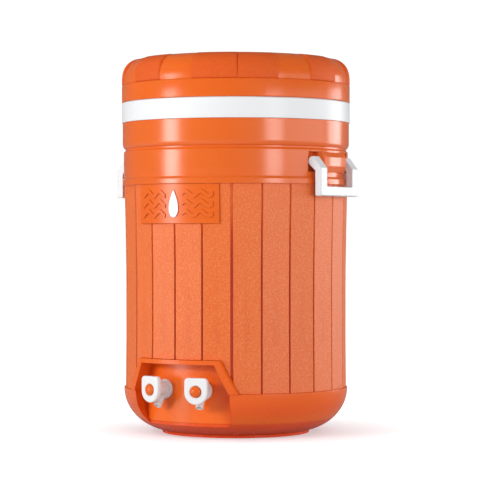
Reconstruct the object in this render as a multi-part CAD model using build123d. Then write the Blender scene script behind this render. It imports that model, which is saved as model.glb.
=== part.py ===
from build123d import *
from math import cos, pi, radians, sin, sqrt, tan
import os

# Insulated beverage dispenser with two push-button taps.
# Millimetres, +Z up, the front and its taps face -Y, the handles are at +X and -X.
# phi is an angle round the body, from the front (-Y) towards +X.

# ---------------------------------------------------------------- overall sizes
BODY_R = 172.5          # collar and lid skirt, the widest radius of the body
BASE_H = 68.4           # base bowl, floor to rim
STAVE_H = 303.3         # staved wall
LEDGE_H = 10.7          # ledge ring with its sloped shoulder
BAND2_H = 41.6          # lower smooth band, which carries the handles
NOTCH_H = 2.1           # groove between the bands
BAND1_H = 39.8          # upper smooth band
COLLAR_H = 30.2         # white collar of the tank
SKIRT_H = 26.4          # plain skirt of the lid
CROWN_H = 41.5          # lid above its skirt

Z_RIM = BASE_H
Z_LEDGE = Z_RIM + STAVE_H
Z_BAND2 = Z_LEDGE + LEDGE_H
Z_NOTCH = Z_BAND2 + BAND2_H
Z_BAND1 = Z_NOTCH + NOTCH_H
Z_COLLAR = Z_BAND1 + BAND1_H
Z_LID = Z_COLLAR + COLLAR_H
Z_LINE = Z_LID + SKIRT_H
Z_TOP = Z_LINE + CROWN_H

# ---------------------------------------------------------------- clearances
GAP = 0.3               # between curved faces of neighbouring pieces
SEAT = 0.1              # between flat faces that rest on each other
FIT = 0.06              # radial, pins and stems

# ---------------------------------------------------------------- walls
WALL = 3.0
TANK_WALL = 3.5

# ---------------------------------------------------------------- staves
STAVES = 24
STAVE_PITCH = 360 / STAVES
STAVE_R = BODY_R - 5.3  # corner radius just above the bowl
STAVE_IN_R = BODY_R - 10.7
GROOVE_W = 3.0
GROOVE_WIDE = 5.0       # the two grooves that frame the tap housing
GROOVE_D = 3.0
STAVE_LEVELS = ((0.0, 0.0), (0.25, -0.7), (0.58, -0.6), (0.82, 0.6), (1.0, 2.0))

# ---------------------------------------------------------------- bowl
FOOT_R = BODY_R - 61.5
FOOT_W = 7.0
BOWL_Z = 2.5            # underside of the bowl
BOWL_FLAT_R = BODY_R - 78.5
BOWL_A = BODY_R - 3.7 - BOWL_FLAT_R
BOWL_B = BASE_H - 1.4 - BOWL_Z

# ---------------------------------------------------------------- tap bay
BAY_R = BODY_R - 28.0   # back wall of the bay
FRAME_R = BODY_R - 0.5  # front of the hood
BAY_TOP = Z_RIM + 41.8
BAY_TOP_X = 0.365 * BODY_R
BAY_RIM_X = 0.475 * BODY_R
BAY_LOW_X = 0.455 * BODY_R
FRAME_TOP = Z_RIM + 48.3
FRAME_TOP_X = 0.401 * BODY_R
FRAME_RIM_X = 0.535 * BODY_R

# ---------------------------------------------------------------- taps
TAP_PHI = 13.0
TAP_Z = Z_RIM + 3.6
PLATE_W = 35.0
PLATE_UP = 19.8
PLATE_DOWN = 18.7
PLATE_S = BODY_R + 5.5  # front face of the tap plate, from the body axis
PLATE_T = 6.7
BARREL_R = 9.75
FLANGE_R = 14.25
FLANGE_T = 3.0
FLANGE_S = BAY_R + GAP
SHANK_R = BARREL_R - 0.75
BORE_R = SHANK_R - 3.0
BUTTON_R = 8.0
STEM_R = 2.0
SPOUT_R = 5.6
SPOUT_BORE_R = 3.25
SPOUT_TILT = 34.0
SPOUT_TIP_S = BODY_R - 10.5
SPOUT_TIP_Z = TAP_Z - 24.5

# ---------------------------------------------------------------- tank
TANK_Z = 30.0
TANK_LOW_R = BODY_R - 33.5
TANK_TOP_R = BODY_R - 30.5
NECK_R = BODY_R - 22.5
Z_MOUTH = Z_LINE + 1.5
SHANK_IN_S = TANK_LOW_R - TANK_WALL - 1.5
WASHER_T = 2.0
NUT_T = 7.0
SHANK_END = SHANK_IN_S - WASHER_T - NUT_T - 4.0

# ---------------------------------------------------------------- lid thread
STARTS = 4
LEAD = 48.0
RIDGE_H = 3.2
RIDGE_BASE = 2.5
RIDGE_CREST = 1.5
SLEEVE_R = NECK_R + 4.0
NECK_RIDGE_Z = Z_LID + 12.0
NECK_RIDGE_ARC = 75.0
LID_RIDGE_DROP = 4.4
LID_RIDGE_ARC = 60.0

# ---------------------------------------------------------------- lid
LID_CORNER_R = BODY_R - 33.0
LID_CORNER_Z = Z_TOP - 35.9
CORNER_H = 34.4
PAD_POWER = 2.55
SCOOP_POWER = 2.1
SCOOP_IN = 1.5
SCOOPS = 9
SCOOP_ARC = 18.25
LATCH_FROM = 9.9        # the pair of neighbouring pads on the front right
LATCH_TO = 53.15

# ---------------------------------------------------------------- handles
HANDLE_W = 111.0
LEG_W = 17.5
PIVOT_N = BODY_R - 8.5
PIVOT_Z = Z_BAND2 + 22.1
PIN_R = 2.5
LEG_IN = BODY_R - 2.5
LEG_OUT = BODY_R + 8.0
POCKET_T = HANDLE_W / 2 + 1.5
POCKET_N = PIVOT_N - 10.0
POCKET_LOW = PIVOT_Z - 14.9
POCKET_TOP = PIVOT_Z + 14.3
LUG_T = HANDLE_W / 2 - LEG_W - 2.0


# ================================================================ helpers
def turned(points):
    """A solid of revolution from (radius, height) points."""
    return revolve(Plane.XZ * make_face(Polyline(*points, close=True)), Axis.Z)


def ring(inner, outer, low, high):
    """A plain ring, or a disc when inner is 0."""
    return turned([(inner, low), (outer, low), (outer, high), (inner, high)])


def corner(power, a, b, centre_r, centre_z, count=9):
    """Points of a quarter superellipse, from its side to its top."""
    points = []
    for i in range(count + 1):
        angle = radians(90 * i / count)
        r = centre_r + a * abs(cos(angle)) ** (2 / power)
        z = centre_z + b * abs(sin(angle)) ** (2 / power)
        points.append((r, z))
    return points


def front(points):
    """A prism that runs from the body axis out past the front, from (x, z) points."""
    return extrude(Plane.XZ * make_face(Polyline(*points, close=True)), BODY_R + 40)


def mirrored(points):
    """A closed outline from its right half, listed from the top down."""
    return points + [(-x, z) for x, z in reversed(points)]


def at_tap(side):
    """The frame of a tap: its z axis is the radial axis of the barrel."""
    phi = radians(TAP_PHI * side)
    return Plane((0, 0, TAP_Z), x_dir=(cos(phi), sin(phi), 0), z_dir=(sin(phi), -cos(phi), 0))


def rod(radius, low, high):
    """A cylinder on the local z axis between two heights."""
    return Pos(0, 0, (low + high) / 2) * Cylinder(radius, high - low)


def bowl_profile(inset):
    """The bowl's curved side from its flat to its rim, moved inwards by inset."""
    points = []
    for i in range(13):
        angle = radians(90 * i / 12)
        r = BOWL_FLAT_R + (BOWL_A - inset) * sin(angle)
        z = BOWL_Z + BOWL_B - (BOWL_B - inset) * cos(angle)
        points.append((r, z))
    return points


def bowl_solid(inset, top, top_r=None):
    """The filled bowl, moved inwards by inset, up to top, then out to top_r."""
    curve = bowl_profile(inset)
    side = Spline(*curve)
    low = (0, curve[0][1])
    last = curve[-1]
    rest = [last, (last[0], top)]
    if top_r:
        rest = [last, (last[0], Z_RIM + SEAT), (top_r, Z_RIM + SEAT), (top_r, top)]
    rest.append((0, top))
    outline = [Line(low, curve[0]), side, Polyline(*rest), Line((0, top), low)]
    return revolve(Plane.XZ * make_face(outline), Axis.Z)


def stave_outline(corner_r):
    """One level of the staved wall, with the groove at every corner."""
    points = []
    for k in range(STAVES):
        phi = radians(k * STAVE_PITCH - 90)
        half = (GROOVE_WIDE if k in (2, STAVES - 2) else GROOVE_W) / 2
        drop = half * tan(radians(STAVE_PITCH / 2))
        for t, d in ((-half, drop), (-half * 0.5, GROOVE_D), (half * 0.5, GROOVE_D), (half, drop)):
            r = corner_r - d
            points.append((r * cos(phi) - t * sin(phi), r * sin(phi) + t * cos(phi)))
    return make_face(Polyline(*points, close=True))


def ridge(section, start_z, arc):
    """Thread ridges, one per start, from (radius, height) points of the section."""
    radius = section[0][0]
    path = Helix(LEAD, LEAD * arc / 360, radius, center=(0, 0, start_z))
    shape = make_face(Polyline(*[(r, start_z + z) for r, z in section], close=True))
    single = sweep(Plane.XZ * shape, path=path, is_frenet=True)
    return [Rot(0, 0, 360 / STARTS * k) * single for k in range(STARTS)]


parts = {}

# ================================================================ bay outlines
def bay_sides(out):
    """The bay's outline, from its ceiling down, moved outwards by out."""
    slope = 0.75 * out
    return mirrored([
        (BAY_TOP_X + slope, BAY_TOP + out),
        (BAY_RIM_X + out, Z_RIM),
        (BAY_RIM_X - 1.4 + out, Z_RIM * 0.62),
        (BAY_LOW_X + out, Z_RIM * 0.48),
        (BAY_LOW_X - 4.0 + slope, Z_RIM * 0.36 - slope),
        (BAY_LOW_X - 11.0 + slope, Z_RIM * 0.28 - slope),
        (BAY_LOW_X - 20.0, Z_RIM * 0.17 - out),
    ])


bay_outline = bay_sides(0)
bay_outer = bay_sides(WALL)
bay_room = bay_sides(WALL + GAP)
hood_outline = mirrored([(FRAME_TOP_X, FRAME_TOP), (FRAME_RIM_X, Z_RIM + SEAT)])
hood_room = mirrored([
    (FRAME_TOP_X + GAP, FRAME_TOP + GAP),
    (FRAME_RIM_X + GAP, Z_RIM),
    (FRAME_RIM_X + GAP, Z_RIM - 20),
])
bay_space = front(bay_outline) - Cylinder(BAY_R, 4 * BODY_R)

# ================================================================ outer shell
sections = [
    Pos(0, 0, Z_RIM + SEAT + (STAVE_H - SEAT) * level) * stave_outline(STAVE_R + grow)
    for level, grow in STAVE_LEVELS
]
staves = loft(sections, ruled=True)
shell_inner = [
    (STAVE_IN_R, Z_RIM - 8),
    (STAVE_IN_R, Z_LEDGE + 3),
    (BODY_R - 6.2, Z_BAND2 + 4),
    (BODY_R - 6.2, Z_NOTCH - 5),
    (BODY_R - 8.5, Z_NOTCH),
    (BODY_R - 8.5, Z_BAND1 + 2),
    (BODY_R - 5.0, Z_BAND1 + 12),
    (BODY_R - 5.0, Z_COLLAR - 4),
    (BODY_R - 7.0, Z_COLLAR),
    (BODY_R - 7.0, Z_COLLAR + 10),
]
lip = [(r, z) for r, z in corner(2.0, 4.3, -9.0, BODY_R - 5.5, Z_BAND1 + 9.5, 6)]
shell_outer = [
    (BODY_R - TANK_WALL - GAP, Z_COLLAR + 10),
    (BODY_R - TANK_WALL - GAP, Z_COLLAR - SEAT),
    (BODY_R - 1.2, Z_COLLAR - SEAT),
] + lip + [
    (BODY_R - 5.5, Z_NOTCH),
    (BODY_R - 3.0, Z_NOTCH - 2.5),
    (BODY_R - 3.0, Z_BAND2 + 12),
    (BODY_R - 3.8, Z_BAND2),
    (BODY_R - 1.1, Z_LEDGE + 7.6),
    (BODY_R - 1.1, Z_LEDGE),
    (STAVE_R - GROOVE_D - 0.6, Z_LEDGE),
]
wall_r = STAVE_R - GROOVE_D - 0.6
shell = turned(shell_inner + shell_outer + [(wall_r, Z_RIM + SEAT), (wall_r, Z_RIM - 8)])
shell += staves - Cylinder(wall_r - 0.5, 4 * Z_TOP)

# pockets and lugs for the handles
pocket_wall = Pos(POCKET_N - WALL, 0, POCKET_LOW - WALL) * Box(
    30, 2 * POCKET_T + 2 * WALL, POCKET_TOP - POCKET_LOW + 2 * WALL,
    align=(Align.MIN, Align.CENTER, Align.MIN)
)
pocket_wall = pocket_wall & Cylinder(BODY_R - 4.5, 4 * Z_TOP)
pocket = Pos(POCKET_N, 0, POCKET_LOW) * Box(
    40, 2 * POCKET_T, POCKET_TOP - POCKET_LOW, align=(Align.MIN, Align.CENTER, Align.MIN)
)
lug_side = [
    (POCKET_N - 1, POCKET_LOW - 1),
    (BODY_R - 4.5, POCKET_LOW - 1),
    (BODY_R - 3.0, POCKET_LOW),
    (BODY_R + 0.5, PIVOT_Z - 5.9),
    (BODY_R + 0.5, PIVOT_Z + 6.9),
    (BODY_R - 3.0, POCKET_TOP - 0.8),
    (BODY_R - 4.5, POCKET_TOP + 1),
    (POCKET_N - 1, POCKET_TOP + 1),
]
lug_blank = extrude(Plane.XZ * make_face(Polyline(*lug_side, close=True)), LUG_T, both=True)
lug_plan = [
    (POCKET_N - 2, LUG_T),
    (BODY_R - 8.5, LUG_T),
    (BODY_R + 1.0, LUG_T - 5),
    (BODY_R + 1.0, 5 - LUG_T),
    (BODY_R - 8.5, -LUG_T),
    (POCKET_N - 2, -LUG_T),
]
lug_blank = lug_blank & extrude(make_face(Polyline(*lug_plan, close=True)), Z_TOP)
pin_hole = Pos(PIVOT_N, 0, PIVOT_Z) * Rot(90, 0, 0) * Cylinder(PIN_R + FIT, HANDLE_W - 8)
for turn in (0, 180):
    shell += Rot(0, 0, turn) * pocket_wall
for turn in (0, 180):
    shell -= Rot(0, 0, turn) * pocket
for turn in (0, 180):
    shell += Rot(0, 0, turn) * lug_blank
for turn in (0, 180):
    shell -= Rot(0, 0, turn) * pin_hole

# seat for the name plate, and the window for the tap housing
BADGE_PHI = 23.7
BADGE_LOW = Z_LEDGE - 57.7
BADGE_SEAT_R = BODY_R - 6.5
badge_x = (BODY_R - 3.2) * sin(radians(BADGE_PHI))


def badge_prism(grow, top):
    """The name plate's outline, run out past the front."""
    low = BADGE_LOW - grow
    side = badge_x + grow
    return front([(-side, low), (side, low), (side, top), (-side, top)])


badge_room = badge_prism(GAP, Z_LEDGE) - Cylinder(BADGE_SEAT_R, 4 * Z_TOP)
shell -= badge_room
shell -= front(hood_room) - Cylinder(STAVE_IN_R - 20, 4 * Z_TOP)
parts["outer_shell"] = shell

# ================================================================ name plate
plate = badge_prism(0, Z_LEDGE - GAP) & ring(BADGE_SEAT_R + GAP, BODY_R - 3.2, 0, Z_TOP)
marks = []
for row in range(3):
    base = BADGE_LOW + 14.4 + row * 14.4
    for start in (-61, 15):
        top_edge = []
        low_edge = []
        for i in range(25):
            x = start + i * 46 / 24
            z = base + 3.6 * sin(2 * pi * (x - 15) / 23)
            top_edge.append((x, z + 2.9))
            low_edge.append((x, z - 2.9))
        marks.append(front(top_edge + low_edge[::-1]))
drop = []
for i in range(32):
    angle = 2 * pi * i / 32
    drop.append((10.5 * sin(angle) * sin(angle / 2), BADGE_LOW + 28.8 + 20 * cos(angle)))
marks.append(front(drop))
relief_ring = ring(BODY_R - 5.0, BODY_R - 1.7, 0, Z_TOP)
for mark in marks:
    plate += mark & relief_ring
parts["name_plate"] = plate

# ================================================================ base bowl
foot = ring(FOOT_R - FOOT_W, FOOT_R, 0, BOWL_Z + 3.5)
bowl = bowl_solid(0, Z_RIM) + foot
bowl -= bowl_solid(WALL, Z_RIM + 20)
bowl -= bay_space
parts["base_bowl"] = bowl

# ================================================================ tap housing
envelope = bowl_solid(WALL + GAP, FRAME_TOP + 20, FRAME_R)
housing = (front(bay_outer) & envelope) - Cylinder(BAY_R - WALL, 4 * Z_TOP)
hood = front(hood_outline) & ring(STAVE_IN_R, FRAME_R, Z_RIM, FRAME_TOP + 20)
housing += hood
housing -= bay_space
for side in (-1, 1):
    housing += at_tap(side) * rod(FLANGE_R + 1.5, BAY_R - WALL + 1, FLANGE_S - SEAT)
for side in (-1, 1):
    housing -= at_tap(side) * rod(SHANK_R + GAP, BAY_R - 20, BAY_R + 20)
parts["tap_housing"] = housing

# ================================================================ inner tank
tank_line = [
    (0, TANK_Z),
    (TANK_LOW_R - 8, TANK_Z),
    (TANK_LOW_R, TANK_Z + 8),
    (TANK_TOP_R, Z_COLLAR - 11),
    (NECK_R, Z_COLLAR + 2),
    (NECK_R, Z_LID - TANK_WALL),
    (BODY_R - TANK_WALL, Z_LID - TANK_WALL),
    (BODY_R - TANK_WALL, Z_COLLAR),
    (BODY_R, Z_COLLAR),
    (BODY_R, Z_LID - 1.5),
    (BODY_R - 1.5, Z_LID),
    (NECK_R, Z_LID),
    (NECK_R, Z_MOUTH),
    (NECK_R - TANK_WALL, Z_MOUTH),
    (NECK_R - TANK_WALL, Z_COLLAR + 3),
    (TANK_TOP_R - TANK_WALL, Z_COLLAR - 10),
    (TANK_LOW_R - TANK_WALL, TANK_Z + 8),
    (TANK_LOW_R - 8, TANK_Z + TANK_WALL),
    (0, TANK_Z + TANK_WALL),
]
tank = turned(tank_line)
for side in (-1, 1):
    tank += at_tap(side) * rod(FLANGE_R + 3.0, SHANK_IN_S, TANK_LOW_R - 1.8)
    tank += at_tap(side) * rod(FLANGE_R + 1.5, TANK_LOW_R - 2, BAY_R - WALL - 1.3)
for side in (-1, 1):
    tank -= at_tap(side) * rod(SHANK_R + GAP, SHANK_IN_S - 5, BAY_R)
neck_section = [
    (NECK_R - 0.6, -RIDGE_BASE),
    (NECK_R + RIDGE_H, -RIDGE_CREST),
    (NECK_R + RIDGE_H, RIDGE_CREST),
    (NECK_R - 0.6, RIDGE_BASE),
]
for piece in ridge(neck_section, NECK_RIDGE_Z, NECK_RIDGE_ARC):
    tank += piece
parts["inner_tank"] = tank

# ================================================================ insulation
foam_outer = [(r - GAP, z) for r, z in shell_inner[1:-2]]
foam_line = [
    (TANK_LOW_R - 8, TANK_Z - GAP),
    (TANK_LOW_R + GAP, TANK_Z + 8),
    (TANK_TOP_R + GAP, Z_COLLAR - 11),
    (NECK_R + GAP, Z_COLLAR + 2),
    (NECK_R + GAP, Z_LID - TANK_WALL - GAP),
    (BODY_R - 7.0 - GAP, Z_LID - TANK_WALL - GAP),
    (BODY_R - 7.0 - GAP, Z_COLLAR - 4),
]
foam = turned(foam_line + foam_outer[::-1] + [(STAVE_IN_R - GAP, 0), (0, 0), (0, TANK_Z - GAP)])
foam &= bowl_solid(WALL + GAP, Z_TOP)
foam -= front(bay_room) - Cylinder(BAY_R - WALL - GAP, 4 * Z_TOP)
for turn in (0, 180):
    foam -= Rot(0, 0, turn) * Pos(POCKET_N - WALL - GAP, 0, POCKET_LOW - WALL - GAP) * Box(
        60, 2 * POCKET_T + 2 * WALL + 2 * GAP, POCKET_TOP - POCKET_LOW + 2 * WALL + 2 * GAP,
        align=(Align.MIN, Align.CENTER, Align.MIN)
    )
for side in (-1, 1):
    foam -= at_tap(side) * rod(FLANGE_R + 1.5 + GAP, TANK_LOW_R - 20, BAY_R)
parts["foam_insulation"] = foam

# ================================================================ lid
def lid_curve(power, inset):
    """The lid's crown from its side to its centre, as (radius, height) points."""
    side = corner(power, 33.0 - inset, CORNER_H, LID_CORNER_R, LID_CORNER_Z, 12)
    return side


def crown(power, inset, low):
    """The filled lid under a crown curve, down to low."""
    curve = lid_curve(power, inset)
    side = Spline(*curve)
    dome = Line(curve[-1], (0, Z_TOP))
    rest = Polyline((0, Z_TOP), (0, low), (curve[0][0], low), curve[0])
    return revolve(Plane.XZ * make_face([side, dome, rest]), Axis.Z)


lid = crown(PAD_POWER, 0, Z_LID + GAP)
hollow_curve = corner(2.2, 28.6, 29.5, LID_CORNER_R, LID_CORNER_Z, 12)
hollow_rest = Polyline(
    hollow_curve[-1], (0, Z_TOP - 5.5), (0, Z_LID - 5), (BODY_R - 3.2, Z_LID - 5),
    (BODY_R - 3.2, LID_CORNER_Z - 4), hollow_curve[0]
)
hollow = revolve(Plane.XZ * make_face([Spline(*hollow_curve), hollow_rest]), Axis.Z)
scoop_curve = lid_curve(SCOOP_POWER, SCOOP_IN)
scoop_curve[-1] = (LID_CORNER_R - 1.0, LID_CORNER_Z + CORNER_H + 0.2)
scoop_far = Polyline(
    scoop_curve[-1], (LID_CORNER_R - 1.0, Z_TOP + 10), (BODY_R + 10, Z_TOP + 10),
    (BODY_R + 10, Z_LINE + 0.3), (scoop_curve[0][0], Z_LINE + 0.3), scoop_curve[0]
)
scoop_face = Plane.XZ * make_face([Spline(*scoop_curve), scoop_far])
pad_arc = (360 - (LATCH_TO - LATCH_FROM) - SCOOPS * SCOOP_ARC) / (SCOOPS - 1)
for k in range(SCOOPS):
    start = LATCH_TO + k * (SCOOP_ARC + pad_arc) - 90
    lid -= revolve(Rot(0, 0, start) * scoop_face, Axis.Z, SCOOP_ARC)
lid -= hollow
line_cut = ring(BODY_R - 0.5, BODY_R + 5, Z_LINE - 0.3, Z_LINE + 0.3)
lid -= line_cut
lid -= ring(0, LID_CORNER_R - 28, Z_TOP - 1.6, Z_TOP + 5)
parts["lid_shell"] = lid

PLUG_Z = Z_LID + 16
SEAL_Z = Z_MOUTH + SEAT
GASKET_T = 3.0
DISC_Z = SEAL_Z + GASKET_T + SEAT
liner_line = [
    (0, PLUG_Z),
    (NECK_R - TANK_WALL - 2, PLUG_Z),
    (NECK_R - TANK_WALL - 2, DISC_Z),
    (SLEEVE_R, DISC_Z),
    (SLEEVE_R, Z_LID + 2.5),
    (BODY_R - 3.2 - GAP, Z_LID + 2.5),
    (BODY_R - 3.2 - GAP, Z_LID + 5.5),
    (SLEEVE_R + WALL, Z_LID + 5.5),
    (SLEEVE_R + WALL, DISC_Z + WALL),
    (NECK_R - TANK_WALL - 2 - WALL, DISC_Z + WALL),
    (NECK_R - TANK_WALL - 2 - WALL, PLUG_Z + WALL),
    (0, PLUG_Z + WALL),
]
liner = turned(liner_line)
lid_section = [
    (SLEEVE_R + 0.6, -RIDGE_BASE),
    (SLEEVE_R - 3.4, -RIDGE_CREST),
    (SLEEVE_R - 3.4, RIDGE_CREST),
    (SLEEVE_R + 0.6, RIDGE_BASE),
]
lid_ridge_z = NECK_RIDGE_Z - LID_RIDGE_DROP
for piece in ridge(lid_section, lid_ridge_z, LID_RIDGE_ARC):
    liner += piece
parts["lid_liner"] = liner
parts["lid_gasket"] = ring(NECK_R - TANK_WALL - 1.2, NECK_R + 1.5, SEAL_Z, SEAL_Z + GASKET_T)

lid_foam_curve = corner(2.2, 28.6 - GAP, 29.5 - GAP, LID_CORNER_R, LID_CORNER_Z, 12)
lid_foam_rest = Polyline(
    lid_foam_curve[-1], (0, Z_TOP - 5.5 - GAP), (0, PLUG_Z + WALL + GAP),
    (NECK_R - TANK_WALL - 2 - WALL - GAP, PLUG_Z + WALL + GAP),
    (NECK_R - TANK_WALL - 2 - WALL - GAP, DISC_Z + WALL + GAP),
    (SLEEVE_R + WALL + GAP, DISC_Z + WALL + GAP),
    (SLEEVE_R + WALL + GAP, Z_LID + 5.5 + GAP),
    (BODY_R - 3.2 - GAP, Z_LID + 5.5 + GAP),
    (BODY_R - 3.2 - GAP, LID_CORNER_Z - 4), lid_foam_curve[0]
)
lid_foam = revolve(Plane.XZ * make_face([Spline(*lid_foam_curve), lid_foam_rest]), Axis.Z)
parts["lid_foam"] = lid_foam

# ================================================================ handles
elbow = PIVOT_Z - 14.0
grip_low = Z_LEDGE - 17.7
grip_top = Z_LEDGE - 3.7
handle_side = [
    (LEG_IN + 1.5, grip_low),
    (LEG_OUT - 1.5, grip_low),
    (LEG_OUT, grip_low + 1.5),
    (LEG_OUT, elbow + 4.5),
    (PIVOT_N + 3.0, PIVOT_Z + 7.4),
    (PIVOT_N - 1.5, PIVOT_Z + 6.9),
    (PIVOT_N - 7.0, PIVOT_Z + 1.8),
    (PIVOT_N - 7.0, PIVOT_Z - 1.4),
    (LEG_IN, elbow),
    (LEG_IN, grip_low + 1.5),
]
bail = extrude(Plane.XZ * make_face(Polyline(*handle_side, close=True)), HANDLE_W / 2, both=True)
window = Pos(0, 0, grip_top) * Box(
    4 * BODY_R, HANDLE_W - 2 * LEG_W, 200, align=(Align.CENTER, Align.CENTER, Align.MIN)
)
bail -= window
side_faces = bail.faces().filter_by(Axis.Y).group_by(Axis.Y)
bail = chamfer(side_faces[0].edges() + side_faces[-1].edges(), 0.7)
blind = Pos(PIVOT_N, 0, PIVOT_Z) * Rot(90, 0, 0) * Cylinder(PIN_R + FIT, HANDLE_W - 9)
bail -= blind
pin = Pos(PIVOT_N, 0, PIVOT_Z) * Rot(90, 0, 0) * Cylinder(PIN_R, HANDLE_W - 10)
parts["handle_right"] = bail
parts["handle_left"] = Rot(0, 0, 180) * bail
parts["pivot_pin_right"] = pin
parts["pivot_pin_left"] = Rot(0, 0, 180) * pin

# ================================================================ taps
PLATE_BACK = PLATE_S - PLATE_T
HEAD_S = SHANK_END - 5.0
BULK_S = PLATE_S - 18.0
SPRING_S = BULK_S + 5.0
CUP_S = PLATE_S
RING_R = STEM_R + 1.2


def tap_body():
    """Plate, barrel, flange, threaded shank and spout, in the tap's own frame."""
    half = PLATE_W / 2
    low = half - PLATE_DOWN
    shape = Polyline((-half, low), (-half, PLATE_UP), (half, PLATE_UP), (half, low))
    arc = ThreePointArc((half, low), (0, -PLATE_DOWN), (-half, low))
    face = make_face([shape, arc])
    corners = [v for v in face.vertices() if v.Y > PLATE_UP - 1]
    face = fillet(corners, 6.0)
    plate = Pos(0, 0, PLATE_BACK) * extrude(face, PLATE_T)
    rim = plate.faces().sort_by(Axis.Z)[-1].edges()
    plate = fillet(rim, 2.0)
    body = plate + rod(BARREL_R, FLANGE_S + 1, PLATE_BACK + 1)
    body += rod(FLANGE_R, FLANGE_S, FLANGE_S + FLANGE_T)
    tip = Vector(0, SPOUT_TIP_Z - TAP_Z, SPOUT_TIP_S)
    way = Vector(0, cos(radians(SPOUT_TILT)), -sin(radians(SPOUT_TILT)))
    spout_plane = Plane(tip, x_dir=(1, 0, 0), z_dir=way)
    spout = spout_plane * rod(SPOUT_R, 0, 27)
    keep = Pos(0, 0, FLANGE_S) * Box(80, 120, 60, align=(Align.CENTER, Align.CENTER, Align.MIN))
    body += spout & keep
    body += rod(SHANK_R, SHANK_END, FLANGE_S + 1)
    body -= rod(BORE_R, SHANK_END - 1, BULK_S)
    body -= rod(RING_R + 1.1, BULK_S - 1, BULK_S + 2.4)
    body -= rod(STEM_R + FIT, BULK_S, SPRING_S + 1)
    body -= rod(BUTTON_R + GAP, SPRING_S, PLATE_S + 1)
    body -= Pos(0, 0, PLATE_S - 0.6) * Cone(BUTTON_R + GAP, BUTTON_R + GAP + 1.4, 1.4)
    body -= spout_plane * rod(SPOUT_BORE_R, -1, 28)
    return body


def tap_button():
    """A domed cap with a skirt and a boss for the stem."""
    low = PLATE_S - 7.0
    edge = PLATE_S + 0.8
    dome_r = (BUTTON_R ** 2 + 9) / 6
    middle = (BUTTON_R / 2, edge + 3.0 - dome_r + sqrt(dome_r ** 2 - BUTTON_R ** 2 / 4))
    dome = ThreePointArc((BUTTON_R, edge), middle, (0, edge + 3.0))
    rest = Polyline(
        (0, edge + 3.0), (0, CUP_S), (STEM_R + FIT, CUP_S), (STEM_R + FIT, CUP_S - 4.5),
        (STEM_R + 1.5, CUP_S - 4.5), (STEM_R + 1.5, CUP_S), (BUTTON_R - 1.4, CUP_S),
        (BUTTON_R - 1.4, low), (BUTTON_R, low), (BUTTON_R, edge)
    )
    return revolve(Plane.XZ * make_face([dome, rest]), Axis.Z)


def tap_spring():
    """The return spring, round the boss, between the bulkhead and the button."""
    wire = 0.55
    low = SPRING_S + wire + SEAT
    high = CUP_S - wire - SEAT
    path = Helix((high - low) / 5, high - low, 5.3, center=(0, 0, low))
    return sweep(Plane.XZ * Pos(5.3, low) * Circle(wire), path=path, is_frenet=True)


body = tap_body()
button = tap_button()
stem = rod(STEM_R, HEAD_S, CUP_S - SEAT) + rod(2 * STEM_R, HEAD_S, HEAD_S + 2)
seal = rod(BORE_R + 1.8, HEAD_S + 2 + SEAT, SHANK_END - SEAT)
seal -= rod(STEM_R + FIT, HEAD_S, SHANK_END + 1)
spring = tap_spring()
oring = Pos(0, 0, BULK_S + 1.2) * Torus(RING_R, 0.95)
washer = rod(SHANK_R + 5, SHANK_IN_S - WASHER_T, SHANK_IN_S) - rod(SHANK_R + FIT, 0, PLATE_S)
nut_low = SHANK_IN_S - WASHER_T - NUT_T
nut = Pos(0, 0, nut_low) * extrude(RegularPolygon(SHANK_R + 8, 6), NUT_T)
nut -= rod(SHANK_R + FIT, 0, PLATE_S)
for side, name in ((-1, "left"), (1, "right")):
    here = at_tap(side)
    parts[f"tap_body_{name}"] = here * body
    parts[f"tap_button_{name}"] = here * button
    parts[f"tap_stem_{name}"] = here * stem
    parts[f"tap_seal_{name}"] = here * seal
    parts[f"tap_spring_{name}"] = here * spring
    parts[f"stem_oring_{name}"] = here * oring
    parts[f"tap_washer_{name}"] = here * washer
    parts[f"tap_nut_{name}"] = here * nut

# ================================================================ output
os.makedirs("parts", exist_ok=True)
for name, solid in parts.items():
    export_step(solid, f"parts/{name}.step")
    print(name, len(solid.solids()), round(solid.volume / 1000, 2), "cm3", solid.is_valid)
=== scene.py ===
# %% [markdown]
# # An insulated beverage dispenser, dressed in Blender
# The packed model gives a fixed frame: bodies, joints and one mesh per piece, all in
# metres, with the floor at zero and the taps facing -Y. This lesson keeps the pieces
# whose shape is already right and gives them finishes, and rebuilds the ones that need
# rounded edges or finer relief. Nothing from the frame is moved.

# %% Load the frame
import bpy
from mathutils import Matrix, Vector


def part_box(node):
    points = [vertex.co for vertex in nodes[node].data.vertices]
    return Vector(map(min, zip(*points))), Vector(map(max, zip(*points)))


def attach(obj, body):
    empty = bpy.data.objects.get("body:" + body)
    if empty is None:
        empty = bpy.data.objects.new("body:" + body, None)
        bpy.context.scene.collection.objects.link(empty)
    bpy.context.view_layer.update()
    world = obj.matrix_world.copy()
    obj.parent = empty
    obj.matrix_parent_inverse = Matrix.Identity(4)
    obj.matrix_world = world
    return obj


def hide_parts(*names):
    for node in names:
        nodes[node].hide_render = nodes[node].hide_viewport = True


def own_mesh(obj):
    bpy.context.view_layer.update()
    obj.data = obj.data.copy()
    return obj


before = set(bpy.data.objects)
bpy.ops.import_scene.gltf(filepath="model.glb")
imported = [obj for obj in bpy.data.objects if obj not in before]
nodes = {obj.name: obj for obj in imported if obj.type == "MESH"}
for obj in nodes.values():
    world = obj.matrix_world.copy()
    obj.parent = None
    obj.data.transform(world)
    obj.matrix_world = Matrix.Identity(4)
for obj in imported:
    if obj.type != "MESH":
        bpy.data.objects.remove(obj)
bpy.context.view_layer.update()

# %% Modules and the object's own measures
import bmesh
import bpy
from math import cos, pi, radians, sin, sqrt
from mathutils import Vector

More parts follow.
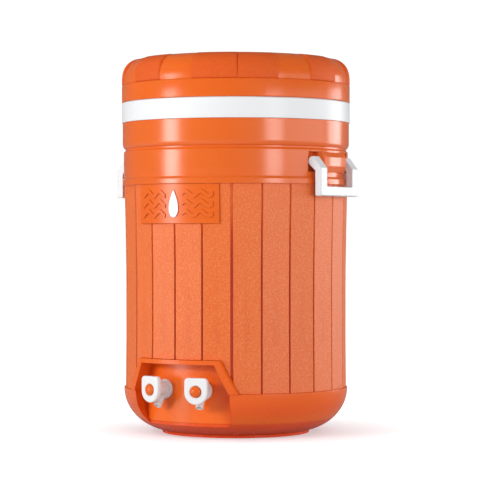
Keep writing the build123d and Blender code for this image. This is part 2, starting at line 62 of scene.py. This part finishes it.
BODY_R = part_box("inner_tank")[1][0]
Z_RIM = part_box("base_bowl")[1][2]
Z_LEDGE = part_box("name_plate")[1][2] + 0.0003
LID_LOW, LID_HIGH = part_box("lid_shell")
print("body radius", round(BODY_R, 4), "rim height", round(Z_RIM, 4))
print("lid from", round(LID_LOW[2], 4), "to", round(LID_HIGH[2], 4))

# %% [markdown]
# ## Shader arithmetic
# A material graph is easier to read as sums. One small class wraps a socket and turns
# each operator into a Math node, so that `1 - mask` or `grain * 0.2 + 0.3` is a line of
# Python. Every other node comes from one method, which sets its options before its
# inputs, because some options change which inputs exist.

# %% A socket that can be used in arithmetic
class Field:
    """A shader output that can be added, multiplied and so on."""

    def __init__(self, board, socket):
        self.board = board
        self.socket = socket

    def _math(self, operation, first, second, clamp=False):
        settings = {"operation": operation, "use_clamp": clamp}
        return self.board.add("ShaderNodeMath", settings, {0: first, 1: second})

    def __add__(self, other):
        return self._math("ADD", self, other)

    def __radd__(self, other):
        return self._math("ADD", other, self)

    def __sub__(self, other):
        return self._math("SUBTRACT", self, other)

    def __rsub__(self, other):
        return self._math("SUBTRACT", other, self)

    def __mul__(self, other):
        return self._math("MULTIPLY", self, other)

    def __rmul__(self, other):
        return self._math("MULTIPLY", other, self)

    def __pow__(self, other):
        return self._math("POWER", self, other)

    def clamped(self):
        return self._math("ADD", self, 0.0, clamp=True)

    def above(self, low, high):
        """0 below low, 1 above high, smooth between them."""
        settings = {"interpolation_type": "SMOOTHSTEP"}
        return self.board.add("ShaderNodeMapRange", settings, {0: self, 1: low, 2: high})


print("arithmetic ready:", Field.__doc__)

# %% [markdown]
# ## One material at a time
# A board holds one material's nodes. Patterns read the object's own coordinates, so the
# grain stays on the plastic when a handle swings or the lid turns.

# %% A board for one material
class Board:
    """One material and its nodes."""

    def __init__(self, name):
        self.material = bpy.data.materials.new(name)
        self.material.use_nodes = True
        self.tree = self.material.node_tree
        self.tree.nodes.clear()

    def add(self, kind, settings=None, inputs=None, output=0):
        node = self.tree.nodes.new(kind)
        for key, value in (settings or {}).items():
            setattr(node, key, value)
        for key, value in (inputs or {}).items():
            socket = node.inputs[key]
            if isinstance(value, Field):
                self.tree.links.new(value.socket, socket)
            else:
                socket.default_value = value
        return Field(self, node.outputs[output]) if len(node.outputs) else None

    def place(self):
        return self.add("ShaderNodeTexCoord", output=3)

    def noise(self, scale, detail=2.0, rough=0.5):
        inputs = {"Vector": self.place(), "Scale": scale, "Detail": detail, "Roughness": rough}
        return self.add("ShaderNodeTexNoise", None, inputs)

    def cells(self, scale):
        inputs = {"Vector": self.place(), "Scale": scale}
        return self.add("ShaderNodeTexVoronoi", None, inputs)

    def mixed(self, factor, first, second):
        settings = {"data_type": "RGBA"}
        return self.add("ShaderNodeMix", settings, {0: factor, 6: first, 7: second}, output=2)

    def axes(self):
        """x, y and z of the point on the piece."""
        split = self.add("ShaderNodeSeparateXYZ", None, {"Vector": self.place()})
        return [Field(self, split.socket.node.outputs[k]) for k in range(3)]

    def bump(self, height, strength, distance, edge=0.0):
        """A bump, on top of a rounding of every hard edge of radius edge."""
        inputs = {"Height": height, "Strength": strength, "Distance": distance}
        if edge:
            inputs["Normal"] = self.add("ShaderNodeBevel", {"samples": 8}, {"Radius": edge})
        return self.add("ShaderNodeBump", None, inputs)

    def translucent(self, weight, reach):
        """Light that soaks in, reddest deepest, as constants on the shader."""
        radius = (1.0, 0.10, 0.04)
        return {"Subsurface Weight": weight, "Subsurface Radius": radius,
                "Subsurface Scale": reach}

    def finish(self, inputs):
        surface = self.add("ShaderNodeBsdfPrincipled", None, inputs)
        self.add("ShaderNodeOutputMaterial", None, {"Surface": surface})
        return self.material


print("patterns a board can draw:", Board.noise.__name__, Board.cells.__name__)

# %% [markdown]
# ## The moulded plastics
# The shell is coloured right through, so it has no paint edge. Its bands, bowl and tap housing
# are smooth and glossy. The flat staves were etched in the mould with a fine leather-like
# grain that breaks the light into specks, and these glints are painted into the colour as pale
# specks. The grooves between them get a painted shade of deeper red, because light only
# reaches them after bouncing off their walls. A moulded edge is never sharp, so every finish
# rounds its edges a little. The white pieces are waxier.

# %% Smooth plastic
ORANGE = (0.83, 0.140, 0.010, 1)
ORANGE_DEEP = (0.79, 0.118, 0.008, 1)
ORANGE_THICK = (0.85, 0.135, 0.010, 1)
# A redder orange, painted shade for the low part of the bowl and the housing.
ORANGE_PAINTED_SHADE = (0.87, 0.080, 0.010, 1)
# A pale orange, painted glints of the grain.
ORANGE_PAINTED_GLINT = (0.92, 0.33, 0.12, 1)
# A brighter orange, painted bounce light for the hollow of the bay.
ORANGE_BAY_PAINTED_LIGHT = (0.95, 0.165, 0.014, 1)
# A deep red, painted shade for the grooves and for the walls of the plate's relief.
RED_PAINTED_SHADE = (0.50, 0.012, 0.008, 1)
PAD_RED = (0.74, 0.098, 0.008, 1)
WHITE = (0.86, 0.875, 0.89, 1)
WHITE_WORN = (0.82, 0.835, 0.85, 1)
WHITE_SMALL = (0.74, 0.765, 0.80, 1)


def smooth_plastic(name, light, deep, rough, edge=0.0012):
    """A glossy moulded skin with faint flow variation and orange-peel."""
    board = Board(name)
    flow = board.noise(5.0, 2.0)
    peel = board.noise(300.0, 2.0)
    handled = board.noise(38.0, 4.0, 0.6)
    colour = board.mixed(flow.above(0.3, 0.75) * 0.5, light, deep)
    roughness = (handled.above(0.35, 0.8) * 0.06 + (rough - 0.02)).clamped()
    normal = board.bump(peel, 0.05, 0.0004, edge)
    look = {"Base Color": colour, "Roughness": roughness, "Normal": normal}
    if light == ORANGE:
        look.update(board.translucent(0.25, 0.004))
    return board.finish(look)


shell_gloss = smooth_plastic("shell_gloss", ORANGE, ORANGE_DEEP, 0.24)
button_gloss = smooth_plastic("button_gloss", ORANGE, ORANGE_DEEP, 0.18)
tank_white = smooth_plastic("tank_white", WHITE, WHITE_WORN, 0.34)
fitting_white = smooth_plastic("fitting_white", WHITE_SMALL, WHITE_WORN, 0.28, 0.0018)
tap_white = smooth_plastic("tap_white", WHITE, WHITE_WORN, 0.26, 0.0010)
print("smooth plastics:", len(bpy.data.materials))


# %% [markdown]
# ## The bowl and the tap housing
# These two are the thickest plastic on the object. Their orange is given a painted shade,
# redder the lower it goes, where the floor shades it. The hollow of the bay is given a painted
# bounce light, a brighter orange, because its walls light each other, so a mask by distance
# from the axis lifts it.

# %% The bowl and the tap housing
def thick_plastic(name):
    """The double-walled base: a painted shade makes it redder the lower it goes, and a painted
    bounce light makes the bay brighter.
    """
    board = Board(name)
    x, y, z = board.axes()
    # Painted shade: 1 at the floor, 0 at the rim.
    low = 1 - z.above(0.0, Z_RIM)
    inside = 1 - ((x * x + y * y) ** 0.5).above(BODY_R - 0.022, BODY_R - 0.006)
    inside = inside * z.above(0.022, 0.026)
    flow = board.noise(5.0, 2.0)
    # The tone is the painted shade, less of it in the bay, plus random flow.
    tone = (low * (0.9 - inside * 0.6) + flow.above(0.35, 0.8) * 0.25).clamped()
    colour = board.mixed(tone, ORANGE_THICK, ORANGE_PAINTED_SHADE)
    # Painted bounce light: the bay's hollow is mixed towards the brighter orange.
    colour = board.mixed(inside * 0.8, colour, ORANGE_BAY_PAINTED_LIGHT)
    rough = board.noise(38.0, 4.0, 0.6).above(0.35, 0.8) * 0.06 + 0.24
    normal = board.bump(board.noise(300.0), 0.05, 0.0004, 0.0010)
    look = {"Base Color": colour, "Roughness": rough, "Normal": normal}
    return board.finish(look)


base_gloss = thick_plastic("base_gloss")
print("bowl finish:", len(base_gloss.node_tree.nodes), "nodes")


# %% [markdown]
# ## The etched grain
# One function makes the grain, and both finishes that have it call it: fine noise for the pale
# specks, painted glints of the grain, and small cells for the pits that dull the gloss. The
# shell is one piece with grain below its ledge and gloss above, so masks by height and by
# distance from the axis decide which finish shows, and where a groove takes a painted shade of
# deep red.

# %% The grained staves and the grip pads
def etched(board, base, amount):
    """Colour with painted glints, roughness and height of the etched grain over a base colour.
    """
    grain = board.noise(420.0, 3.0, 0.7)
    pits = board.cells(900.0)
    # Painted glints: pale specks where the fine noise is high.
    painted_glint = grain.above(0.46, 0.62)
    colour = board.mixed(painted_glint * amount, base, ORANGE_PAINTED_GLINT)
    roughness = (pits.above(0.1, 0.7) * 0.14 + 0.40).clamped()
    return colour, roughness, grain * 0.8 + pits * 0.4


def stave_and_band(name):
    """Grain below the ledge, gloss above it, and a painted shade of deep red in the grooves.
    """
    board = Board(name)
    x, y, z = board.axes()
    around = (x * x + y * y) ** 0.5
    stave = 1 - z.above(Z_LEDGE - 0.0010, Z_LEDGE + 0.0002)
    groove = stave * (1 - around.above(BODY_R - 0.0082, BODY_R - 0.0072))
    base = board.mixed(board.noise(6.0).above(0.3, 0.75) * 0.4, ORANGE, ORANGE_DEEP)
    colour, rough, height = etched(board, base, 0.38)
    colour = board.mixed(stave, base, colour)
    # Painted shade: the grooves turn deep red.
    colour = board.mixed(groove * 0.85, colour, RED_PAINTED_SHADE)
    lug = around.above(BODY_R + 0.0006, BODY_R + 0.0020)
    roughness = (stave * (rough - 0.22) + lug * 0.36 + 0.22).clamped()
    normal = board.bump(height * stave, 0.6, 0.0006, 0.0014)
    look = {"Base Color": colour, "Roughness": roughness, "Normal": normal}
    look["Specular IOR Level"] = 0.8
    return board.finish(look)


def pad_finish(name):
    """The grip pads: the same grain with fewer painted glints, a shade darker and duller."""
    board = Board(name)
    colour, rough, height = etched(board, PAD_RED, 0.10)
    normal = board.bump(height, 0.45, 0.0005)
    look = {"Base Color": colour, "Roughness": rough + 0.1, "Normal": normal}
    look["Specular IOR Level"] = 0.3
    return board.finish(look)


stave_grain = stave_and_band("stave_grain")
pad_grain = pad_finish("pad_grain")
print("stave finish:", len(stave_grain.node_tree.nodes), "nodes")
print("pad finish:", len(pad_grain.node_tree.nodes), "nodes")


# %% [markdown]
# ## The name plate
# The plate is smooth, with low waves and one drop raised on it. The relief is little more than
# a millimetre high, so its walls are given a painted shade of deep red to be readable from a
# distance, and the drop is white, as if its face had been printed.

# %% The name plate's relief, with one white drop
DROP_WHITE = (0.90, 0.91, 0.92, 1)


def plate_finish(name):
    """Gloss, a painted shade of deep red on the walls of the relief, and white on the middle
    drop.
    """
    board = Board(name)
    x, y, z = board.axes()
    around = (x * x + y * y) ** 0.5
    side = (x * x) ** 0.5
    raised = around.above(BODY_R - 0.0028, BODY_R - 0.0024)
    below_top = 1 - around.above(BODY_R - 0.0019, BODY_R - 0.0018)
    wall = around.above(BODY_R - 0.00312, BODY_R - 0.0030) * below_top
    drop = raised * (1 - side.above(0.0122, 0.0128))
    flow = board.noise(7.0)
    colour = board.mixed(flow.above(0.3, 0.75) * 0.5, ORANGE, ORANGE_DEEP)
    # Painted shade: the walls of the relief turn deep red.
    colour = board.mixed(wall * 0.8, colour, RED_PAINTED_SHADE)
    colour = board.mixed(drop * (1 - wall), colour, DROP_WHITE)
    normal = board.bump(board.noise(300.0), 0.05, 0.0004, 0.0006)
    rough = flow * 0.08 + 0.24
    return board.finish({"Base Color": colour, "Roughness": rough, "Normal": normal})


plate_gloss = plate_finish("plate_gloss")
print("plastics made:", len(bpy.data.materials))

# %% [markdown]
# ## The hidden materials
# Foam, rubber and spring steel are only seen when the lid is off or a piece is taken
# out, but they are finished too: foam shows its cells, rubber is matt and slightly
# dusty, and steel is drawn along its length.

# %% Foam, rubber and steel
def foam_finish():
    board = Board("rigid_foam")
    cells = board.cells(520.0)
    tone = board.mixed(cells.above(0.2, 0.7), (0.86, 0.76, 0.50, 1), (0.70, 0.58, 0.33, 1))
    normal = board.bump(cells, 0.5, 0.001)
    return board.finish({"Base Color": tone, "Roughness": 0.85, "Normal": normal})


def rubber_finish():
    board = Board("seal_rubber")
    dust = board.noise(160.0, 4.0)
    tone = board.mixed(dust.above(0.4, 0.8), (0.03, 0.03, 0.032, 1), (0.075, 0.072, 0.07, 1))
    normal = board.bump(board.noise(900.0), 0.2, 0.0003)
    return board.finish({"Base Color": tone, "Roughness": dust * 0.2 + 0.5, "Normal": normal})


def steel_finish():
    board = Board("drawn_steel")
    drawn = board.noise(700.0, 3.0)
    tone = board.mixed(drawn, (0.50, 0.50, 0.52, 1), (0.66, 0.66, 0.67, 1))
    return board.finish({"Base Color": tone, "Roughness": drawn * 0.2 + 0.2, "Metallic": 1.0})


foam = foam_finish()
rubber = rubber_finish()
steel = steel_finish()
print("hidden finishes:", foam.name, rubber.name, steel.name)

# %% [markdown]
# ## Dressing the pieces
# The packed pieces keep their meshes. Only the material in each slot is changed, by a
# table of names, so a piece can be looked up and its finish swapped in one place.

# %% Dress the carried pieces
DRESS = {
    "outer_shell": stave_grain, "name_plate": plate_gloss, "base_bowl": base_gloss,
    "tap_housing": base_gloss, "lid_shell": shell_gloss, "inner_tank": tank_white,
    "lid_liner": tank_white, "foam_insulation": foam, "lid_foam": foam, "lid_gasket": rubber,
}
for side in ("left", "right"):
    DRESS["handle_" + side] = fitting_white
    DRESS["tap_body_" + side] = tap_white
    DRESS["tap_stem_" + side] = fitting_white
    DRESS["tap_nut_" + side] = fitting_white
    DRESS["tap_button_" + side] = button_gloss
    DRESS["tap_seal_" + side] = rubber
    DRESS["tap_washer_" + side] = rubber
    DRESS["stem_oring_" + side] = rubber
    DRESS["tap_spring_" + side] = steel
    DRESS["pivot_pin_" + side] = steel
for name, material in DRESS.items():
    slots = nodes[name].material_slots
    for place in slots:
        place.material = material
print("dressed", len(DRESS), "of", len(nodes), "pieces")

# %% [markdown]
# ## The lid
# The lid is one moulding: a skirt, a crown that rolls over to a nearly flat top, and nine
# shallow scoops for the fingers with raised, etched pads between them. Its body is a
# turned shape, so one profile is carried round the axis. The pads all follow one shape,
# so one is made with rounded edges and Geometry Nodes set the rest out round the crown.

# %% The crown's curves
CORNER_R = BODY_R - 0.033
CORNER_Z = 0.5281
CORNER_A = 0.033
CORNER_B = 0.0344
LINE_Z = 0.5225
SCOOP_IN = 0.0015
SCOOP_POWER = 2.1
PAD_POWER = 2.55
INNER_POWER = 2.2
INNER_A = 0.0286
INNER_B = 0.0295
INNER_TOP_Z = 0.5585
SKIRT_WALL = 0.0032
print("crown turns in", round(CORNER_R, 4), "from the axis, at height", CORNER_Z)


def crown_point(share, power, across, rise):
    """A point of the rolled edge: share 0 is the side, 1 is the top."""
    angle = share * pi / 2
    out = across * max(cos(angle), 0.0) ** (2 / power)
    up = rise * max(sin(angle), 0.0) ** (2 / power)
    return CORNER_R + out, CORNER_Z + up


def smooth_by_angle(piece, degrees):
    """Smooth faces, with the edges sharper than degrees kept sharp."""
    mesh = piece.data
    mesh.shade_smooth()
    mesh.set_sharp_from_angle(angle=radians(degrees))


def turned_piece(name, profile, steps, material):
    """A closed mesh from a profile that starts and ends on the axis."""
    verts = []
    faces = []
    for radius, height in profile[1:-1]:
        for k in range(steps):
            angle = 2 * pi * k / steps
            verts.append((radius * cos(angle), radius * sin(angle), height))
    first = len(verts)
    verts.append((0, 0, profile[0][1]))
    verts.append((0, 0, profile[-1][1]))
    rows = len(profile) - 2
    for row in range(rows - 1):
        for k in range(steps):
            a = row * steps + k
            b = row * steps + (k + 1) % steps
            faces.append((a, a + steps, b + steps, b))
    last = (rows - 1) * steps
    for k in range(steps):
        faces.append((first, k, (k + 1) % steps))
        faces.append((first + 1, last + (k + 1) % steps, last + k))
    mesh = bpy.data.meshes.new(name)
    mesh.from_pydata(verts, [], faces)
    mesh.materials.append(material)
    piece = bpy.data.objects.new(name, mesh)
    bpy.context.scene.collection.objects.link(piece)
    smooth_by_angle(piece, 28)
    return piece


# %% [markdown]
# ## The lid's body
# The profile starts on the axis at the top, goes over the rolled edge and down the
# skirt, turns under it, and comes back up the inside to the axis, so that the wall is
# closed. The rolled edge is a superellipse, a little squarer than a circle.

# %% The lid's body
top_z = LID_HIGH[2]
scoop_a = CORNER_A - SCOOP_IN
scoop_r = BODY_R - SCOOP_IN
lid_profile = [(0, top_z - 0.0004), (CORNER_R - 0.0283, top_z - 0.0004)]
lid_profile += [(CORNER_R - 0.0280, top_z - 0.0001), (CORNER_R - 0.0275, top_z - 0.00002)]
for i in range(33):
    lid_profile.append(crown_point(1 - i / 32, SCOOP_POWER, scoop_a, CORNER_B - 0.0001))
lid_profile += [
    (scoop_r, LINE_Z + 0.0008), (scoop_r - 0.0006, LINE_Z + 0.0002),
    (scoop_r - 0.0006, LINE_Z - 0.0002), (BODY_R - 0.0007, LINE_Z - 0.0003),
    (BODY_R - 0.0002, LINE_Z - 0.0006), (BODY_R, LINE_Z - 0.0012),
    (BODY_R, LID_LOW[2] + 0.0008), (BODY_R - 0.0006, LID_LOW[2]),
    (BODY_R - SKIRT_WALL, LID_LOW[2]), (BODY_R - SKIRT_WALL, CORNER_Z - 0.004),
]
for i in range(17):
    lid_profile.append(crown_point(i / 16, INNER_POWER, INNER_A, INNER_B))
lid_profile.append((0, INNER_TOP_Z))
lid_body = turned_piece("lid_crown", lid_profile, 288, shell_gloss)
print("lid crown:", len(lid_body.data.polygons), "faces")


# %% [markdown]
# ## One grip pad
# A pad is a patch of a squarer crown that stands on the scoop's surface. Its height
# follows a quarter circle near its borders, which rounds them, and a second sheet just
# under the surface closes it. Rows lie closer together where the edge is rounded.

# %% One grip pad
PAD_ROUND = 0.0018


def across_pad(width, radius):
    """Places across a pad, close together where its sides are rounded."""
    edge = [0, 0.00008, 0.0003, 0.0007, 0.0013, 0.0020]
    near = [d / radius for d in edge]
    inner = [near[-1] + (width - 2 * near[-1]) * k / 14 for k in range(1, 14)]
    return near + inner + [width - d for d in reversed(near)]


def grip_pad(name, start, stop, lift):
    """A raised pad between two angles, in degrees from the front towards +X."""
    width = radians(stop - start)
    places = across_pad(width, BODY_R)
    drop = CORNER_Z - LINE_Z - 0.0004
    shares = [-drop, -drop + 0.0001, -drop + 0.0004, -drop + 0.0009, -drop + PAD_ROUND]
    shares += [k / 24 for k in range(25)]
    sheets = []
    for depth in (0, 1):
        for place in places:
            for share in shares:
                below = min(share, 0.0)
                edge = min(min(place, width - place) * BODY_R, below + drop if below else 1.0)
                dip = max(0.0, 1 - edge / PAD_ROUND)
                roll = sqrt(max(0.0, 1 - dip ** 2)) * (1 - depth)
                sunk = 0.0006 + 0.0008 * depth
                up = max(share, 0.0)
                low_a = CORNER_A - SCOOP_IN - sunk
                low_r, low_z = crown_point(up, SCOOP_POWER, low_a, CORNER_B - sunk)
                high_r, high_z = crown_point(up, PAD_POWER, CORNER_A, CORNER_B)
                r = low_r + (high_r - low_r) * roll * lift
                z = low_z + (high_z - low_z) * roll * lift + below
                turn = radians(start) + place
                sheets.append((r * sin(turn), -r * cos(turn), z))
    rows = len(shares)
    lines = len(places)
    half = rows * lines
    faces = []
    for i in range(lines - 1):
        for k in range(rows - 1):
            a = i * rows + k
            faces.append((a, a + rows, a + rows + 1, a + 1))
            faces.append((half + a, half + a + 1, half + a + rows + 1, half + a + rows))
    loop = [i * rows for i in range(lines)]
    loop += [(lines - 1) * rows + k for k in range(1, rows)]
    loop += [i * rows + rows - 1 for i in range(lines - 2, -1, -1)]
    loop += [k for k in range(rows - 2, 0, -1)]
    for a, b in zip(loop, loop[1:] + loop[:1]):
        faces.append((b, a, half + a, half + b))
    mesh = bpy.data.meshes.new(name)
    mesh.from_pydata(sheets, [], faces)
    mesh.materials.append(pad_grain)
    piece = bpy.data.objects.new(name, mesh)
    bpy.context.scene.collection.objects.link(piece)
    return piece


SCOOP_ARC = 18.25
PAIR = (9.9, 32.75, 32.70, 53.15)
PAD_COUNT = 8
PAD_ARC = (360 - (PAIR[3] - PAIR[0]) - (PAD_COUNT + 1) * SCOOP_ARC) / PAD_COUNT
pad_start = PAIR[3] + SCOOP_ARC
first_pad = grip_pad("one_grip_pad", pad_start, pad_start + PAD_ARC, 1.0)
print("pad of", round(PAD_ARC, 2), "degrees,", len(first_pad.data.polygons), "faces")


# %% [markdown]
# ## Setting the pads out
# The pad is the input of a small node tree. The tree makes as many points as there are
# pads, all on the axis, and puts a copy on each, turned by its number times the pitch.
# Count and pitch are named inputs, so a lid with more scoops needs two numbers.

# %% A tree that repeats a piece round the axis
def round_the_axis():
    tree = bpy.data.node_groups.new("round_the_axis", "GeometryNodeTree")
    face = tree.interface
    face.new_socket("Geometry", in_out="INPUT", socket_type="NodeSocketGeometry")
    for label, kind in (("Count", "NodeSocketInt"), ("Pitch", "NodeSocketFloat")):
        face.new_socket(label, in_out="INPUT", socket_type=kind)
    face.new_socket("Finish", in_out="INPUT", socket_type="NodeSocketMaterial")
    face.new_socket("Geometry", in_out="OUTPUT", socket_type="NodeSocketGeometry")
    given = tree.nodes.new("NodeGroupInput")
    result = tree.nodes.new("NodeGroupOutput")
    points = tree.nodes.new("GeometryNodePoints")
    number = tree.nodes.new("GeometryNodeInputIndex")
    turn = tree.nodes.new("ShaderNodeMath")
    turn.operation = "MULTIPLY"
    spin = tree.nodes.new("ShaderNodeCombineXYZ")
    place = tree.nodes.new("GeometryNodeInstanceOnPoints")
    real = tree.nodes.new("GeometryNodeRealizeInstances")
    paint = tree.nodes.new("GeometryNodeSetMaterial")
    wires = (
        (given.outputs["Count"], points.inputs["Count"]),
        (number.outputs[0], turn.inputs[0]),
        (given.outputs["Pitch"], turn.inputs[1]),
        (turn.outputs[0], spin.inputs["Z"]),
        (points.outputs[0], place.inputs["Points"]),
        (given.outputs["Geometry"], place.inputs["Instance"]),
        (spin.outputs[0], place.inputs["Rotation"]),
        (place.outputs[0], real.inputs[0]),
        (real.outputs[0], paint.inputs["Geometry"]),
        (given.outputs["Finish"], paint.inputs["Material"]),
        (paint.outputs[0], result.inputs[0]),
    )
    for start, end in wires:
        tree.links.new(start, end)
    return tree


def repeated(piece, name, count, pitch, material):
    """The piece count times round the axis, pitch degrees apart, as a plain mesh."""
    step = piece.modifiers.new("repeat", "NODES")
    step.node_group = round_the_axis()
    wanted = {"Count": count, "Pitch": radians(pitch), "Finish": material}
    for item in step.node_group.interface.items_tree:
        if item.in_out == "INPUT" and item.name in wanted:
            step[item.identifier] = wanted[item.name]
    piece.update_tag()
    bpy.context.view_layer.update()
    graph = bpy.context.evaluated_depsgraph_get()
    mesh = bpy.data.meshes.new_from_object(piece.evaluated_get(graph))
    piece.modifiers.remove(step)
    bpy.data.objects.remove(piece)
    made = bpy.data.objects.new(name, mesh)
    mesh.name = name
    bpy.context.scene.collection.objects.link(made)
    smooth_by_angle(made, 50)
    return made


grip_pads = repeated(first_pad, "lid_grip_pads", PAD_COUNT, SCOOP_ARC + PAD_ARC, pad_grain)
print("grip pads:", len(grip_pads.data.polygons), "faces in", PAD_COUNT, "pads")

# %% [markdown]
# ## The pair at the front
# Two pads at the front touch, with no scoop between them, and the right one stands a
# little lower, so their joint is a small step. All the lid's pieces ride on its body, and
# the crown stands in for the packed lid shell.

# %% The neighbouring pair, and riding on the lid
RIGHT_LIFT = 0.72
pair_left = grip_pad("lid_pair_pad_left", PAIR[0], PAIR[1], 1.0)
pair_right = grip_pad("lid_pair_pad_right", PAIR[2], PAIR[3], RIGHT_LIFT)
for pad in (pair_left, pair_right):
    smooth_by_angle(pad, 50)
lid_pieces = (lid_body, grip_pads, pair_left, pair_right)
for piece in lid_pieces:
    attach(piece, "lid")
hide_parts("lid_shell")
print("the lid has", len(lid_pieces), "pieces")

# %% [markdown]
# ## The return springs
# Each tap's spring stands on its body at one end and is pushed by the stem at the other. A
# copy of its own mesh is welded first, because the packed mesh is loose triangles, and it
# rides on the base.

# %% Springs on the base
TAP_TURN = 13.0


def shortening_spring(side, degrees):
    """The spring of one tap, on the base, and its length along the tap, at an angle in degrees
    from +Y towards +X.
    """
    mesh = nodes["tap_spring_" + side].data.copy()
    mesh.name = "return_spring_" + side
    welded = bmesh.new()
    welded.from_mesh(mesh)
    bmesh.ops.remove_doubles(welded, verts=welded.verts, dist=1e-6)
    welded.to_mesh(mesh)
    welded.free()
    spring = bpy.data.objects.new(mesh.name, mesh)
    bpy.context.scene.collection.objects.link(spring)
    inward = Vector((sin(radians(degrees)), cos(radians(degrees)), 0))
    depths = [vertex.co.dot(inward) for vertex in mesh.vertices]
    length = max(depths) - min(depths)
    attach(spring, "base")
    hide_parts("tap_spring_" + side)
    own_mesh(spring)
    return length


for side, degrees in (("left", TAP_TURN), ("right", -TAP_TURN)):
    length = shortening_spring(side, degrees)
    print("spring", side, "is", round(length * 1000, 2), "mm long")

# The camera sees it lit from below by a faint glow, dimmer near the foot as a painted shade,
# so that it fades to white away from the foot. Every other ray sees a duller paper, so that
# the bowl doesn't pick up too much of it.

# %% The floor
FLOOR_HALF = 9
PAPER_TONES = ((0.82, 0.82, 0.82, 1), (0.85, 0.85, 0.85, 1))
# The glow is dimmer near the foot, a painted shade on the floor.
NEAR_GLOW_PAINTED_SHADE = (0.33, 0.36, 0.38, 1)
FAR_GLOW = (0.80, 0.80, 0.80, 1)
floor_mesh = bpy.data.meshes.new("studio_floor")
signs = ((-1, -1), (1, -1), (1, 1), (-1, 1))
corners = [(FLOOR_HALF * x, FLOOR_HALF * y, 0) for x, y in signs]
floor_mesh.from_pydata(corners, [], [(0, 1, 2, 3)])
floor = bpy.data.objects.new("studio_floor", floor_mesh)
bpy.context.scene.collection.objects.link(floor)
paper = Board("studio_paper")
across, along, up = paper.axes()
away = (across * across + along * along) ** 0.5
paper_tone = paper.mixed(paper.noise(3.0), PAPER_TONES[0], PAPER_TONES[1])
# Painted shade: the glow rises from the foot outwards.
paper_glow_painted_shade = paper.mixed(away.above(0.10, 0.42), NEAR_GLOW_PAINTED_SHADE, FAR_GLOW)
lit_paper = paper.add("ShaderNodeBsdfPrincipled", None, {
    "Base Color": paper_tone, "Roughness": 0.9, "Specular IOR Level": 0.0,
    "Emission Color": paper_glow_painted_shade, "Emission Strength": 1.0,
})
dull_paper = paper.add("ShaderNodeBsdfDiffuse", None, {"Color": (0.60, 0.60, 0.60, 1)})
seen = paper.add("ShaderNodeLightPath")
paper_mix = paper.add("ShaderNodeMixShader", None, {0: seen, 1: dull_paper, 2: lit_paper})
paper.add("ShaderNodeOutputMaterial", None, {"Surface": paper_mix})
floor_mesh.materials.append(paper.material)
print("floor", 2 * FLOOR_HALF, "m square")

# %% [markdown]
# ## The surround
# White all round, but at three levels: full where the camera looks, lower as the light
# that fills every side, and lower still in reflections, so that the gloss shows the soft
# panels and not an even white sheet.

# %% The surround
AMBIENT = 0.42
MIRRORED = 0.21
BACKDROP = 1.05
world = bpy.data.worlds.new("white_surround")
world.use_nodes = True
sky = world.node_tree
ray = sky.nodes.new("ShaderNodeLightPath")


def choose(switch, otherwise, value):
    """value where the ray is of that kind, otherwise the level so far."""
    node = sky.nodes.new("ShaderNodeMix")
    sky.links.new(ray.outputs[switch], node.inputs[0])
    if isinstance(otherwise, float):
        node.inputs[2].default_value = otherwise
    else:
        sky.links.new(otherwise, node.inputs[2])
    node.inputs[3].default_value = value
    return node.outputs[0]


level = choose("Is Camera Ray", choose("Is Glossy Ray", AMBIENT, MIRRORED), BACKDROP)
sky.links.new(level, sky.nodes["Background"].inputs["Strength"])
sky.nodes["Background"].inputs["Color"].default_value = (1, 1, 1, 1)
bpy.context.scene.world = world
bpy.context.scene.view_settings.view_transform = "Standard"
print("surround levels:", AMBIENT, MIRRORED, BACKDROP)

# %% [markdown]
# ## The soft panels
# Four panels are seen in the gloss: a tall one on the left for the long vertical sheen,
# one near the camera on the right, a wide faint one beyond it, and one behind that pales
# the far edge. Three more only light the plastic and leave no reflection: a broad fill,
# a small low one that throws the taps' shadows, and a high one for the left side.

# %% The soft panels
VIEW = 32.0
PANELS = (
    # name, azimuth, distance, height, width, tall, watts, aim height, seen in the gloss
    ("front_fill", VIEW + 22, 3.0, 1.2, 1.8, 1.8, 16, 0.25, False),
    ("side_key", VIEW - 48, 2.4, 0.80, 0.30, 0.30, 14, 0.1, False),
    ("high_key", VIEW - 82, 1.7, 1.5, 0.5, 0.5, 6, 0.0, False),
    ("tall_left", VIEW - 66, 2.2, 0.42, 0.62, 0.95, 13.5, 0.42, True),
    ("near_right", VIEW + 38, 2.6, 0.42, 0.80, 1.0, 11, 0.42, True),
    ("soft_right", VIEW + 74, 2.3, 0.42, 1.9, 1.0, 8, 0.42, True),
    ("behind_right", VIEW + 116, 2.4, 0.42, 1.0, 1.0, 14, 0.42, True),
)


def soft_panel(name, azimuth, distance, height, width, tall, watts, aim, glossy):
    """A soft panel. azimuth is in degrees from the front, towards +X."""
    data = bpy.data.lights.new(name, "AREA")
    data.shape = "RECTANGLE"
    data.size = width
    data.size_y = tall
    data.energy = watts
    lamp = bpy.data.objects.new(name, data)
    turn = radians(azimuth)
    lamp.location = (distance * sin(turn), -distance * cos(turn), height)
    way = Vector((0, 0, aim)) - lamp.location
    lamp.rotation_euler = way.to_track_quat("-Z", "Y").to_euler()
    lamp.visible_glossy = glossy
    bpy.context.scene.collection.objects.link(lamp)


for panel in PANELS:
    soft_panel(*panel)
print("soft panels:", len(PANELS))

# %% [markdown]
# ## The camera
# A long lens about three metres away, level, a little below the middle of the body, so
# the rings above it curve up and the rings below it curve down.

# %% Camera
CAMERA_AWAY = 3.08
CAMERA_HIGH = 0.298
lens = bpy.data.cameras.new("camera")
lens.lens = 146.2
lens.sensor_width = 36.0
lens.shift_x = 0.0284
lens.shift_y = -0.031
camera = bpy.data.objects.new("camera", lens)
turn = radians(VIEW)
camera.location = (CAMERA_AWAY * sin(turn), -CAMERA_AWAY * cos(turn), CAMERA_HIGH)
camera.rotation_euler = (radians(90), 0, turn)
bpy.context.scene.collection.objects.link(camera)
bpy.context.scene.camera = camera
print("camera", CAMERA_AWAY, "m away, lens", round(lens.lens, 1))

# %% [markdown]
